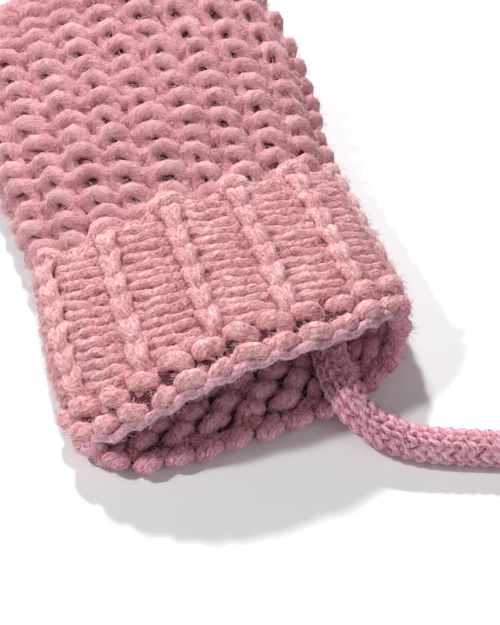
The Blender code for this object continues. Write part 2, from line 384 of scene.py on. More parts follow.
def softPath(corners, steps=4):  # a smooth path through a few named corners
    corners = [np.array(corner, float) for corner in corners]
    line = [2 * corners[0] - corners[1], *corners, 2 * corners[-1] - corners[-2]]
    path = []
    for a, b, c, d in zip(line, line[1:], line[2:], line[3:]):
        for k in range(steps):
            t = k / steps
            bend = (c - a) * t + (2 * a - 5 * b + 4 * c - d) * t**2
            path.append(b + (bend + (3 * b - a - 3 * c + d) * t**3) / 2)
    path.append(corners[-1])
    return path


def mirrored(half):  # the left half of a stitch, from its side to its middle, becomes the whole stitch
    return half + [(-across, up, out) for across, up, out in half[-2::-1]]


def rung(up, bow, lean=0.34):  # a strand across a furrow, leaning against the rows
    half = [(-0.94, up + 3 * bow, -0.0042), (-0.66, up + 1.8 * bow, -0.0026),
            (-0.34, up + 0.4 * bow, -0.0018), (0.0, up, -0.0016)]
    return softPath([(across, height + lean * across, out) for across, height, out in mirrored(half)])


def lump(lean, out):  # one short fat bump whose ends go down into the cloth
    return softPath([(-0.40, -1.5 * lean, -0.0050), (-0.22, -0.8 * lean, out - 0.0008), (0.0, 0.0, out),
                     (0.22, 0.8 * lean, out - 0.0006), (0.42, 1.5 * lean, -0.0050)])


def evenBump(side, shoulder, crown, up=0.0):  # a bump of the same lean on both sides; side: across, lean, out
    left = [(-across, up - lean, out) for across, lean, out in (side, shoulder)]
    right = [(across, up + lean, out) for across, lean, out in (shoulder, side)]
    return softPath([*left, (0.0, up, crown), *right])


def insideBump(up):  # one bump of the inner face; the even and the odd ones lie like bricks
    return evenBump((0.88, 0.20, -0.0022), (0.46, 0.08, -0.0036), -0.0042, up)


def borderArch(shoulder, crown):  # one arch of the course between the cuff and the hand
    return softPath(mirrored([(-0.5, 0.0, -0.0026), shoulder, crown]))


def stitchCurve(name, paths, width, height):
    data = bpy.data.curves.new(name, "CURVE")
    data.dimensions = "3D"
    for path in paths:
        spline = data.splines.new("POLY")
        spline.points.add(len(path) - 1)
        for point, (across, up, out) in zip(spline.points, path):
            point.co = (across * width, up * height, out, 1.0)
    curve = addObject(name, data)
    curve.hide_render = True
    return curve


# the body of every strand: it swells and thins, and loose fibres make its outline ragged
strand = dict(
    swellSize=260.0, swell=0.56, leastSwell=0.72, taperPower=3.0, raggedSize=650.0, ragged=0.0010,
    join=0.00005,  # ends of stitches that lie closer than this become one strand
    unevenOut=0.5,  # how much of the unevenness goes in and out of the cloth
)


def strandBody(curve, source):  # gives a line its round yarn, with its places along and round kept
    tree = curve.id_data
    swell = noiseAt(pointPlace(tree), strand["swellSize"], seed=source["seed"])
    thick = times(source["yarnRadius"], plus(times(swell, strand["swell"]), strand["leastSwell"]))
    spline = addNode(tree, "SplineParameter").outputs
    fromMiddle = maths("ABSOLUTE", minus(times(spline["Factor"], 2.0), 1.0))
    thinner = times(source["taper"], maths("POWER", fromMiddle, strand["taperPower"]))
    thick = times(thick, minus(1.0, thinner))
    sized = fieldOf(tree, "SetCurveRadius", {"Curve": curve, "Radius": thick})
    ring = fieldOf(tree, "CurvePrimitiveCircle", {"Resolution": source["sides"], "Radius": 1.0})
    tube = fieldOf(tree, "CurveToMesh", {
        "Curve": stored(sized, "along", spline["Length"]),
        "Profile Curve": stored(ring, "around", pointPlace(tree), "FLOAT_VECTOR"),
        "Scale": fieldOf(tree, "InputRadius"), "Fill Caps": True,
    })
    ragged = noiseAt(pointPlace(tree), strand["raggedSize"], seed=source["seed"])
    offset = scaled(fieldOf(tree, "InputNormal"), spread(ragged, strand["ragged"]))
    return fieldOf(tree, "SetPosition", {"Geometry": tube, "Offset": offset})


def stitchLines(tree, source):  # lays the stitches out flat and joins them to strands
    wales, courses = source["wales"], source["courses"]
    spanX = times(minus(wales, 1.0), source["waleWidth"])
    spanY = times(minus(courses, 1.0), source["courseHeight"])
    lattice = fieldOf(tree, "MeshGrid", {
        "Size X": spanX, "Size Y": spanY, "Vertices X": wales, "Vertices Y": courses,
    })
    toCorner = threeOf(tree, times(spanX, 0.5), times(spanY, 0.5))
    placed = fieldOf(tree, "SetPosition", {"Geometry": lattice, "Offset": toCorner})
    column = maths("ROUND", maths("DIVIDE", partsOf(pointPlace(tree))[0], source["waleWidth"]))
    rows = addNode(tree, "JoinGeometry")
    for choice, stitch in (("GREATER_THAN", "oddStitch"), ("LESS_THAN", "evenStitch")):
        chosen = maths(choice, maths("MODULO", column, 2.0), 0.5)
        laid = {"Points": placed, "Selection": chosen, "Instance": shapeOf(source[stitch])}
        feed(rows, {0: fieldOf(tree, "InstanceOnPoints", laid)})
    loose = fieldOf(tree, "RealizeInstances", {"Geometry": rows.outputs[0]})
    lines = fieldOf(tree, "CurveToMesh", {"Curve": loose})
    merged = fieldOf(tree, "MergeByDistance", {"Geometry": lines, "Distance": strand["join"]})
    return fieldOf(tree, "MeshToCurve", {"Mesh": merged})


def buildKnitTree():  # lays stitches out flat, wraps them on the guide and gives the yarn its body
    tree, source = newTree(
        "knitOnGuide", int=("wales", "courses", "sides"), object=("evenStitch", "oddStitch"),
        material=("finish",), float=(
            "waleWidth", "courseHeight", "firstWale", "firstCourse", "skew", "skewFrom", "skewEnd",
            "skewFade", "flatWidth", "flatStart", "flatHeight", "rowStart", "yarnRadius", "uneven",
            "unevenSize", "seed", "taper",
        ),
    )
    yarn = stitchLines(tree, source)
    # wrap: flat x goes round, flat y goes along, flat z stands out
    flat = partsOf(pointPlace(tree))
    # the depth in the cloth is kept, and the finishes paint shade by it
    deep = stored(yarn, "depth", flat[2])
    guidePlace = named(tree, "flatPlace", "FLOAT_VECTOR")
    outward = named(tree, "outward", "FLOAT_VECTOR")
    x = maths("DIVIDE", plus(plus(flat[0], source["firstWale"]), source["flatStart"]), source["flatWidth"])
    rowAt = plus(flat[1], source["firstCourse"])

    def onGuide(value, u, v):
        place = threeOf(tree, u, v)
        sockets = {"Mesh": source["Geometry"], "Value": value, 2: guidePlace, "Sample UV": place}
        return fieldOf(tree, "SampleUVSurface", sockets, data_type="FLOAT_VECTOR")

    def asV(row):  # kept just inside the guide's first and last row
        share = maths("DIVIDE", minus(row, source["rowStart"]), source["flatHeight"])
        return maths("MINIMUM", maths("MAXIMUM", share, guideSetup["edge"]), 1 - guideSetup["edge"])

    rough = onGuide(pointPlace(tree), x, asV(rowAt))
    lean = times(minus(partsOf(rough)[0], source["skewFrom"]), source["skew"])
    lean = times(lean, shareBetween(rowAt, source["skewEnd"], minus(source["skewEnd"], source["skewFade"])))
    uneven = noiseAt(rough, source["unevenSize"], seed=source["seed"], output="Color")
    drift = partsOf(scaled(summed(uneven, (-0.5, -0.5, -0.5)), source["uneven"]))
    u = plus(x, maths("DIVIDE", drift[0], source["flatWidth"]))
    v = asV(plus(minus(rowAt, lean), drift[1]))
    stand = plus(flat[2], times(drift[2], strand["unevenOut"]))
    there = summed(onGuide(pointPlace(tree), u, v), scaled(onGuide(outward, u, v), stand))
    # the new places are stored before the points move
    kept = stored(deep, "wrapped", there, "FLOAT_VECTOR")
    goTo = named(tree, "wrapped", "FLOAT_VECTOR")
    wrapped = fieldOf(tree, "SetPosition", {"Geometry": kept, "Position": goTo})
    gone = fieldOf(tree, "RemoveAttribute", {"Geometry": wrapped, "Name": "wrapped"})
    finishTree(strandBody(gone, source), source["finish"])
    return tree


# short loose fibres on every side of the yarn that can be seen
fuzz = dict(
    density={"cuff": 3700000.0, "hand": 2100000.0},  # fibres a square metre
    seeds={"left": {"cuff": 5, "hand": 6}, "right": {"cuff": 9, "hand": 10}}, spinSeed=11.0, sizeSeed=23.0,
    length=0.0019, thick=0.000042, bend=0.0009, middleBend=0.30, shortest=0.6, longest=1.4,
    steepest=1.12, flattest=1.52, fullTurn=6.2832,  # leaning away from upright, and turned any way
    reach=0.0055,  # how far above the cloth the yarn is looked for
    insideReach=0.016, insideShare=0.55, underBelow=0.0045, underShare=0.06,
)


def fibreShape():  # a bent hair, three sided, with a point at each end
    corners = [(0.0, 0.0, 0.0), (fuzz["bend"], 0.0, fuzz["length"])]
    for angle in (0.0, 2 * math.pi / 3, 4 * math.pi / 3):
        across, side = fuzz["thick"] * math.cos(angle), fuzz["thick"] * math.sin(angle)
        corners.append((fuzz["bend"] * fuzz["middleBend"] + across, side, fuzz["length"] * 0.5))
    faces = []
    for here, after in ((2, 3), (3, 4), (4, 2)):
        faces += [(0, after, here), (1, here, after)]
    mesh = bpy.data.meshes.new("looseFibreShape")
    mesh.from_pydata(corners, [], faces)
    fibre = addObject("looseFibreShape", mesh)
    fibre.hide_render = True
    return fibre


def keptOnPoints(geometry, fields):  # fields: name -> kind and value
    node = addNode(geometry.id_data, "CaptureAttribute", {"Geometry": geometry})
    for name, (kind, value) in fields.items():
        node.capture_items.new(kind, name)
        feed(node, {name: value})
    return node.outputs


def randomOf(tree, seed, low, high):  # a random vector for each point
    return fieldOf(tree, "FunctionNodeRandomValue", {0: low, 1: high, "Seed": seed}, data_type="FLOAT_VECTOR")


def buildFuzzTree():
    tree, source = newTree(
        "fibreFuzz", collection=("yarn",), object=("fibre",), int=("seed",), material=("finish",),
        float=("density", "reach", "steepest", "flattest", "shortest", "longest"),
    )
    seed = source["seed"]
    density = times(named(tree, "fuzzShare"), source["density"])
    sockets = {"Mesh": source["Geometry"], "Density": density, "Seed": seed}
    sown = addNode(tree, "DistributePointsOnFaces", sockets).outputs
    sockets = {"Collection": source["yarn"]}
    yarn = fieldOf(tree, "CollectionInfo", sockets, transform_space="RELATIVE")
    target = fieldOf(tree, "RealizeInstances", {"Geometry": yarn})
    facing = keptOnPoints(sown["Points"], {"facing": ("VECTOR", sown["Normal"])})
    # a ray down from above each point finds the yarn over it
    above = summed(pointPlace(tree), scaled(facing["facing"], source["reach"]))
    ray = addNode(tree, "Raycast", {
        "Target Geometry": target, "Source Position": above, "Ray Direction": scaled(facing["facing"], -1.0),
        "Ray Length": source["reach"],
    }).outputs
    root = keptOnPoints(facing["Geometry"], {
        "hitNormal": ("VECTOR", ray["Hit Normal"]), "missed": ("FLOAT", minus(1.0, ray["Is Hit"])),
    })
    sockets = {"Geometry": root["Geometry"], "Position": ray["Hit Position"]}
    landed = fieldOf(tree, "SetPosition", sockets)
    missed = maths("GREATER_THAN", root["missed"], 0.5)
    kept = fieldOf(tree, "DeleteGeometry", {"Geometry": landed, "Selection": missed})
    turn = fieldOf(tree, "FunctionNodeAlignRotationToVector", {"Vector": root["hitNormal"]}, axis="Z")
    spin = randomOf(tree, plus(seed, fuzz["spinSeed"]), (0.0, 0.0, 0.0), (0.0, 0.0, fuzz["fullTurn"]))
    tilt = randomOf(tree, seed, threeOf(tree, source["steepest"]), threeOf(tree, source["flattest"]))
    for more in (spin, tilt):
        sockets = {"Rotation": turn, "Rotate By": more}
        turn = fieldOf(tree, "FunctionNodeRotateRotation", sockets, rotation_space="LOCAL")
    sizes = {2: source["shortest"], 3: source["longest"], "Seed": plus(seed, fuzz["sizeSeed"])}
    size = fieldOf(tree, "FunctionNodeRandomValue", sizes, output=1, data_type="FLOAT")
    fibres = {"Points": kept, "Instance": shapeOf(source["fibre"]), "Rotation": turn, "Scale": size}
    finishTree(fieldOf(tree, "InstanceOnPoints", fibres), source["finish"])
    return tree


# finishes: painted shade, deep in the gaps, pale on the crowns; the depths are those of the darkest and the
# lightest yarn
yarnLook = dict(
    # deep, shade, middle and pale: the painted shade from the gaps up to the crowns
    depths=(-0.0048, 0.0004), deep=(0.22, 0.056, 0.080), shade=(0.60, 0.240, 0.258),
    middle=(0.86, 0.450, 0.460), pale=(0.98, 0.80, 0.785), shadeAt=0.28, middleAt=0.58, lowest=0.31,
    paintedShadeShare=0.34,
    plies=3.0, plyTurn=0.0080, fibreTurn=0.016, streakLength=560.0, streakScale=5.2, stray=0.35,
    straySize=520.0, fineSize=1900.0, cloudSize=150.0, streakColour=1.8, fineColour=1.0, cloudColour=0.5,
    plyBump=0.10, streakBump=1.20, fineBump=0.30, bumpDepth=0.00022, roughness=0.85, specular=0.2,
    sheen=0.40, sheenRoughness=0.45, sheenTint=(0.94, 0.84, 0.97, 1.0),
)
handLook = dict(
    yarnLook, depths=(-0.0044, 0.0004), shade=(0.48, 0.195, 0.220), middle=(0.71, 0.370, 0.390),
    pale=(0.87, 0.68, 0.68), lowest=0.22, paintedShadeShare=0.40, streakColour=0.9, fineColour=0.35,
    bumpDepth=0.00015,
)
# painted shade: a purpler copy of the yarn finish for the yarn inside the mouth, which lies in shade
insideLook = dict(
    yarnLook, depths=(-0.0012, -0.0046), deep=(0.20, 0.045, 0.078), shade=(0.56, 0.195, 0.255),
    middle=(0.84, 0.400, 0.480), pale=(0.95, 0.66, 0.72), lowest=0.34,
)
# painted shade: a darker, purpler copy of the yarn finish for the cord, which lies low in shade, dark in the
# gaps between its stitches
cordLook = dict(
    yarnLook, depths=(-0.0011, 0.0004), deep=(0.12, 0.022, 0.040), shade=(0.42, 0.140, 0.182),
    middle=(0.76, 0.318, 0.395), pale=(0.95, 0.64, 0.70), lowest=-0.05, paintedShadeShare=0.95, streakLength=450.0,
    streakScale=9.0, streakColour=1.6, fineColour=0.8, cloudColour=0.3, plyBump=0.0, bumpDepth=0.00025,
)
# painted sheen: a lilac, slightly lighter copy of the yarn finish for the hem's lip, standing in for the haze
# of light along that edge
lipLook = dict(
    yarnLook, shade=(0.56, 0.245, 0.315), middle=(0.78, 0.420, 0.500), lowest=0.38, streakColour=1.2,
    bumpDepth=0.0002,
)
fibreLook = dict(
    dark=(0.76, 0.35, 0.375), light=(0.96, 0.72, 0.72), darkAt=0.3, lightAt=0.7, size=700.0, roughness=0.7,
    specular=0.3,
)
clothLook = dict(
    # dark and light: the painted shade of the ground, from the deepest shade to the ground behind the ribs
    dark=(0.10, 0.022, 0.034), light=(0.52, 0.20, 0.215), fineSize=1400.0, fineColour=0.8, bumpDepth=0.0004,
    roughness=0.9,
)


def newFinish(name):
    finish = bpy.data.materials.new(name)
    finish.use_nodes = True
    tree = finish.node_tree
    return finish, tree, tree.nodes["Principled BSDF"], fieldOf(tree, "ShaderNodeTexCoord", output="Object")


def valueAt(tree, name, output):
    return fieldOf(tree, "ShaderNodeAttribute", output=output, attribute_name=name)


def colourRamp(level, *stops):  # stops: place and colour, from dark to light
    ramp = addNode(level.id_data, "ShaderNodeValToRGB", {"Fac": level})
    points = ramp.color_ramp.elements
    for point, (place, colour) in zip(points, (stops[0], stops[-1])):
        point.position = place
        point.color = (*colour, 1.0)
    for place, colour in stops[1:-1]:
        points.new(place).color = (*colour, 1.0)
    return ramp.outputs[0]


def bumped(height, depth):
    return fieldOf(height.id_data, "ShaderNodeBump", {"Height": height, "Distance": depth, "Strength": 1.0})


def makeYarnFinish(name, look):
    finish, tree, shader, place = newFinish(name)
    along = valueAt(tree, "along", "Fac")
    parts = partsOf(valueAt(tree, "around", "Vector"))
    angle = maths("ARCTAN2", parts[1], parts[0])
    # plies: ridges that wind round the yarn
    ply = maths("SINE", plus(times(angle, look["plies"]), times(along, 2 * math.pi / look["plyTurn"])))
    # fibres: long thin streaks, wound a little the same way
    wound = plus(angle, times(along, 2 * math.pi / look["fibreTurn"]))
    wound = plus(wound, spread(noiseAt(place, look["straySize"]), 2 * look["stray"]))
    streakX, streakY = (times(maths(swing, wound), look["streakScale"]) for swing in ("COSINE", "SINE"))
    streakPlace = threeOf(tree, streakX, streakY, times(along, look["streakLength"]))
    streak = noiseAt(streakPlace, 1.0, detail=2.0, roughness=0.6)
    fine = noiseAt(place, look["fineSize"], roughness=0.6)
    cloudy = noiseAt(place, look["cloudSize"], detail=2.0)
    # colour: painted shade by depth, darker where the yarn lies deeper in the cloth, streaked along the
    # fibres
    high = shareBetween(valueAt(tree, "depth", "Fac"), *look["depths"])
    level = plus(times(high, look["paintedShadeShare"]), look["lowest"])
    for pattern, reach in ((streak, "streakColour"), (fine, "fineColour"), (cloudy, "cloudColour")):
        level = plus(level, spread(pattern, look[reach]))
    tones = (look["shadeAt"], look["shade"]), (look["middleAt"], look["middle"])
    height = plus(times(ply, look["plyBump"]), times(streak, look["streakBump"]))
    height = plus(height, times(fine, look["fineBump"]))
    feed(shader, {
        "Base Color": colourRamp(level, (0.0, look["deep"]), *tones, (1.0, look["pale"])),
        "Normal": bumped(height, look["bumpDepth"]), "Roughness": look["roughness"],
        "Specular IOR Level": look["specular"], "Sheen Weight": look["sheen"],
        "Sheen Roughness": look["sheenRoughness"], "Sheen Tint": look["sheenTint"],
    })
    return finish


def makeFibreFinish(name):  # loose fibres that stand off the yarn
    finish, tree, shader, place = newFinish(name)
    tones = (fibreLook["darkAt"], fibreLook["dark"]), (fibreLook["lightAt"], fibreLook["light"])
    feed(shader, {
        "Base Color": colourRamp(noiseAt(place, fibreLook["size"]), *tones),
        "Roughness": fibreLook["roughness"], "Specular IOR Level": fibreLook["specular"],
    })
    return finish


def makeClothFinish(name):  # the felted ground between the stitches, dark plum as painted shade where it lies behind the yarn
    finish, tree, shader, place = newFinish(name)
    fine = noiseAt(place, clothLook["fineSize"], detail=3.0, roughness=0.7)
    level = plus(valueAt(tree, "groundShadeTone", "Fac"), spread(fine, clothLook["fineColour"]))
    feed(shader, {
        "Base Color": colourRamp(level, (0.0, clothLook["dark"]), (1.0, clothLook["light"])),
        "Normal": bumped(fine, clothLook["bumpDepth"]), "Roughness": clothLook["roughness"],
    })
    return finish


yarnFinish = makeYarnFinish("dustyPinkYarn", yarnLook)
insideFinish = makeYarnFinish("dustyPinkInsideShaded", insideLook)
lipFinish = makeYarnFinish("dustyPinkLipPaintedSheen", lipLook)
handFinish = makeYarnFinish("dustyPinkHand", handLook)
cordFinish = makeYarnFinish("dustyPinkCordShaded", cordLook)
fibreFinish = makeFibreFinish("looseFibre")
clothFinish = makeClothFinish("plumGroundPaintedShade")
finishOf = {"insideYarn": insideFinish, "rimYarn": insideFinish, "lipYarn": lipFinish, "handYarn": handFinish}
print("finishes are made")

# the cuff's and the hand's knitting
pitch = 0.0072  # nominal stitch width in the flat layout
hemPitch, upperPitch, handPitch, insidePitch = pitch * 22 / 26, pitch * 22 / 24, pitch * 1.1, pitch / 2
knit = dict(
    sides=7, skew={"cuff": 0.0, "hand": 0.40}, skewEnd=0.140, skewFade=0.045, lumpTaper=0.70,
    unevenSize=120.0, closeUnevenSize=300.0,  # the close one differs from stitch to stitch
    seeds={"left": 0.0, "right": 7.3},
)
# short bumps that thin out towards their ends
lumpLayers = ("hemYarn", "hemYarnUpper", "rimYarn", "insideYarn")
closeLayers = ("rungYarn", "insideYarn")
stitches = {name: stitchCurve(name, paths, width, height) for name, paths, width, height in (
    ("purlHand", [loopPath(0.13, 0.055, 1.24, -0.0019, -0.0006, -0.0030, 16)], handPitch, 0.0058),
    ("knitRib", [softPath(mirrored([
        (-0.50, -0.62, -0.0044), (-0.26, -0.62, -0.0036), (-0.06, -0.48, -0.0014), (-0.10, -0.14, -0.0006),
        (-0.15, 0.20, -0.0010), (-0.17, 0.48, -0.0024), (0.0, 0.64, -0.0042)]), 2)], pitch, 0.0062),
    ("ladderRib", [rung(0.0, 0.05), rung(-0.5, 0.10)], pitch, 0.0053),
    ("borderKnit", [borderArch((-0.28, 0.22, -0.0014), (0.0, 0.40, -0.0008))], pitch, 0.0050),
    ("borderPurl", [borderArch((-0.25, -0.26, -0.0024), (0.0, -0.34, -0.0022))], pitch, 0.0050),
    ("hemLump", [lump(0.12, -0.0009)], hemPitch, 0.0054),
    ("hemLumpLow", [lump(-0.06, -0.0014)], hemPitch, 0.0054),
    ("hemLumpUpper", [lump(0.20, -0.0010)], upperPitch, 0.0054),
    ("hemLip", [softPath([(-0.5, 0.0, -0.0024), (-0.22, 0.05, -0.0018), (0.06, 0.02, -0.0022),
                          (0.28, -0.03, -0.0026), (0.5, 0.0, -0.0026)], 3)], hemPitch, 0.0046),
    ("insideLump", [insideBump(0.0)], insidePitch, 0.0074),
    ("insideLumpHalf", [insideBump(0.5)], insidePitch, 0.0074),
    ("rimLump", [evenBump((0.46, 0.16, -0.0020), (0.24, 0.06, -0.0029), -0.0032)], hemPitch, 0.0058),
)}
# name, even stitch, odd stitch, stitches laid, stitches in a full round, first stitch, courses, first course,
# course height, thickness, unevenness
cuffLayers = (
    ("ribYarn", "knitRib", None, 22, 22, 0.19, 6, 0.0152, 0.0062, 0.00132, 0.0020),
    ("rungYarn", None, "ladderRib", 22, 22, 0.19, 7, 0.0148, 0.0053, 0.00114, 0.0026),
    ("borderYarn", "borderKnit", "borderPurl", 22, 22, 0.19, 1, 0.0492, 0.0050, 0.0018, 0.0030),
    ("hemYarn", "hemLump", "hemLumpLow", 26, 26, 0.55, 1, 0.0032, 0.0054, 0.00195, 0.0036),
    ("hemYarnUpper", "hemLumpUpper", "hemLump", 24, 24, 0.10, 1, 0.0088, 0.0054, 0.00195, 0.0045),
    ("lipYarn", "hemLip", "hemLip", 15, 26, -0.9, 1, 0.0008, 0.0045, 0.0010, 0.0024),
    ("rimYarn", "rimLump", "rimLump", 15, 26, 12.6, 1, 0.0012, 0.0058, 0.0020, 0.0030),
    ("insideYarn", "insideLump", "insideLumpHalf", 44, 44, 0.5, 3, 0.0060, 0.0074, 0.00185, 0.0030),
)
handLayers = (
    ("handYarn", "purlHand", "purlHand", 20, 20, 0.30, 19, 0.0375, 0.0058, 0.00174, 0.0045),
)
knitTree = buildKnitTree()
fuzzTree = buildFuzzTree()
looseFibre = fibreShape()


def restOnFloor(piece, above=0.0002):  # soft yarn lies flat where it would go below the floor
    mesh = piece.data
    places = np.zeros(len(mesh.vertices) * 3, np.float32)
    mesh.vertices.foreach_get("co", places)
    places[2::3] = np.maximum(places[2::3], above)
    mesh.vertices.foreach_set("co", places)
    mesh.update()


def knitLayer(side, part, guide, layer):
    name, even, odd, laid, fullRound, phase, courses, firstCourse, courseHeight, radius, uneven = layer
    start, end = guideSetup["spans"][part]
    width = pitch * mitten["stitchesRound"] / fullRound
    chosen = {"evenStitch": even, "oddStitch": odd}
    piece = runTree(f"{name}_{side}", knitTree, guide, {
        "wales": laid, "courses": courses, "waleWidth": width, "courseHeight": courseHeight,
        "firstWale": phase * width, "firstCourse": firstCourse, "skew": knit["skew"][part],
        "skewFrom": axisOf[side], "skewEnd": knit["skewEnd"], "skewFade": knit["skewFade"],
        "flatWidth": (mitten["stitchesRound"] + 2 * guideSetup["spare"]) * pitch,
        "flatStart": guideSetup["spare"] * pitch, "flatHeight": end - start, "rowStart": start,
        **{kind: stitches[stitch] for kind, stitch in chosen.items() if stitch},
        "yarnRadius": radius, "uneven": uneven, "sides": knit["sides"], "seed": knit["seeds"][side],
        "unevenSize": knit["closeUnevenSize" if name in closeLayers else "unevenSize"],
        "taper": knit["lumpTaper"] if name in lumpLayers else 0.0, "finish": finishOf.get(name, yarnFinish),
    })
    restOnFloor(piece)
    return piece


def fuzzOn(side, part, cloth, yarns):
    group = bpy.data.collections.new("yarnTarget")
    for yarn in yarns:
        group.objects.link(yarn)
    kept = {name: fuzz[name] for name in ("reach", "steepest", "flattest", "shortest", "longest")}
    piece = runTree(f"{part}Fibres_{side}", fuzzTree, cloth, {
        **kept, "yarn": group, "fibre": looseFibre, "density": fuzz["density"][part],
        "seed": fuzz["seeds"][side][part], "finish": fibreFinish,
    })
    bpy.data.collections.remove(group)
    restOnFloor(piece)
    return piece


def smoothPiece(name, points, faces, finish, numbers):  # numbers: name -> a value for each point
    mesh = bpy.data.meshes.new(name)
    mesh.from_pydata(points.tolist(), [], faces)
    mesh.update()
    mesh.polygons.foreach_set("use_smooth", [True] * len(mesh.polygons))
    mesh.materials.append(finish)
    for label, values in numbers.items():
        data = mesh.attributes.new(label, "FLOAT", "POINT").data
        data.foreach_set("value", values.astype(np.float32))
    return addObject(name, mesh)


# the wall stands for the felted fuzz between the stitches; its dark tone is painted shade seen through the
# gaps
clothWall = dict(  # a thin closed wall in the middle of the knitting
    inset=0.0026, thick=0.0006, stitchStep=0.25,
    rows={
        "cuff": np.arange(0.0008, 0.0501, 0.002),
        "hand": np.append(np.arange(0.0460, 0.1430, 0.0016), 0.1435),
    },
    # painted shade on the ground: pale behind the ribs and dark near the hem, within and behind the hand's
    # loops
    paleFrom=0.010, paleOver=0.005, handShadeTone=0.35,
)


def clothShell(side, part):
    closeTip = part == "hand"
    around = np.arange(0, mitten["stitchesRound"], clothWall["stitchStep"])
    half = clothWall["thick"] / 2
    outer, inner = (
        surfaceGrid(mitten[part + "Rows"], clothWall["rows"][part], around, inset, axisOf[side])
        for inset in (clothWall["inset"] - half, clothWall["inset"] + half)
    )
    shift = outer[..., 0].size
    skin, index = gridFaces(*outer.shape[:2], True)
    faces = skin.tolist() + (skin[:, ::-1] + shift).tolist()
    for rim in ([0] if closeTip else [0, -1]):
        for a, b in zip(index[rim, :-1], index[rim, 1:]):
            quad = [a, b, b + shift, a + shift]
            faces.append(quad if rim == 0 else quad[::-1])
    if closeTip:
        faces.append(index[-1, :-1][::-1].tolist())
        faces.append((index[-1, :-1] + shift).tolist())
    # how much fuzz each place gets: most on the outside, some near the mouth within, little underneath
    outside = np.where(outer[..., 2] < fuzz["underBelow"], fuzz["underShare"], 1.0)
    within = np.where(inner[..., 1] - mitten["hemY"] < fuzz["insideReach"], fuzz["insideShare"], 0.0)
    # painted shade: the ground is pale behind the ribs and darker towards the hem; the inner face is darkest
    pale = np.clip((outer[..., 1] - mitten["hemY"] - clothWall["paleFrom"]) / clothWall["paleOver"], 0.0, 1.0)
    tone = np.full(pale.shape, clothWall["handShadeTone"]) if closeTip else pale
    points = np.concatenate([outer, inner]).reshape(-1, 3)
    return smoothPiece(f"{part}Cloth_{side}", points, faces, clothFinish, {
        "groundShadeTone": np.concatenate([tone.ravel(), np.zeros(shift)]),
        "fuzzShare": np.concatenate([outside.ravel(), within.ravel()]),
    })


flatSizes = {"cuff": (0.154, 0.050), "hand": (0.152, 0.082)}


def buildMitten(side):
    yarns = {}
    for part, layers in (("hand", handLayers), ("cuff", cuffLayers)):
        guide = clothGuide(part, axisOf[side])
        yarns[part] = [knitLayer(side, part, guide, layer) for layer in layers]
        bpy.data.objects.remove(guide)
    cloths = {part: clothShell(side, part) for part in flatSizes}
    for part, cloth in cloths.items():
        pieces = [*yarns[part], fuzzOn(side, part, cloth, yarns[part])]
        for piece in (*pieces, cloth):
            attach(piece, "root")
        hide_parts(f"{part}_top_{side}", f"{part}_under_{side}")
        count = sum(len(face.vertices) - 2 for piece in pieces for face in piece.data.polygons)
        print(f"{side} {part} is knitted: {count} triangles of yarn and fibre")


# the cord runs out of the left cuff, along the floor, into a tied hank, and into the right cuff
cord = dict(
    thick=0.0069, step=0.0007, easing=120, floor=0.0035, leastZ=0.0001,
    sides=44, wales=7, row=0.0025, relief=0.00082, waleTurns=2.2, rowSlant=1.5,
    legEdge=0.45, legPower=0.5, rowGap=0.30, rowPower=0.6, sunk=1.5,  # how a stitch rises from its gaps
)
hank = dict(  # millimetres from the left mitten's axis and the hem
    rightX=137.5, middleY=-29.3, pinchX=109.0, apart=3.5, over=10.5, innerFold=15.0, outerFold=21.7,
    innerLeft=(81.5, -32.8, 18.0), outerLeft=(77.2, -27.6, 21.2), lastRun=(-7.1, 9.7), foldStep=6,
)


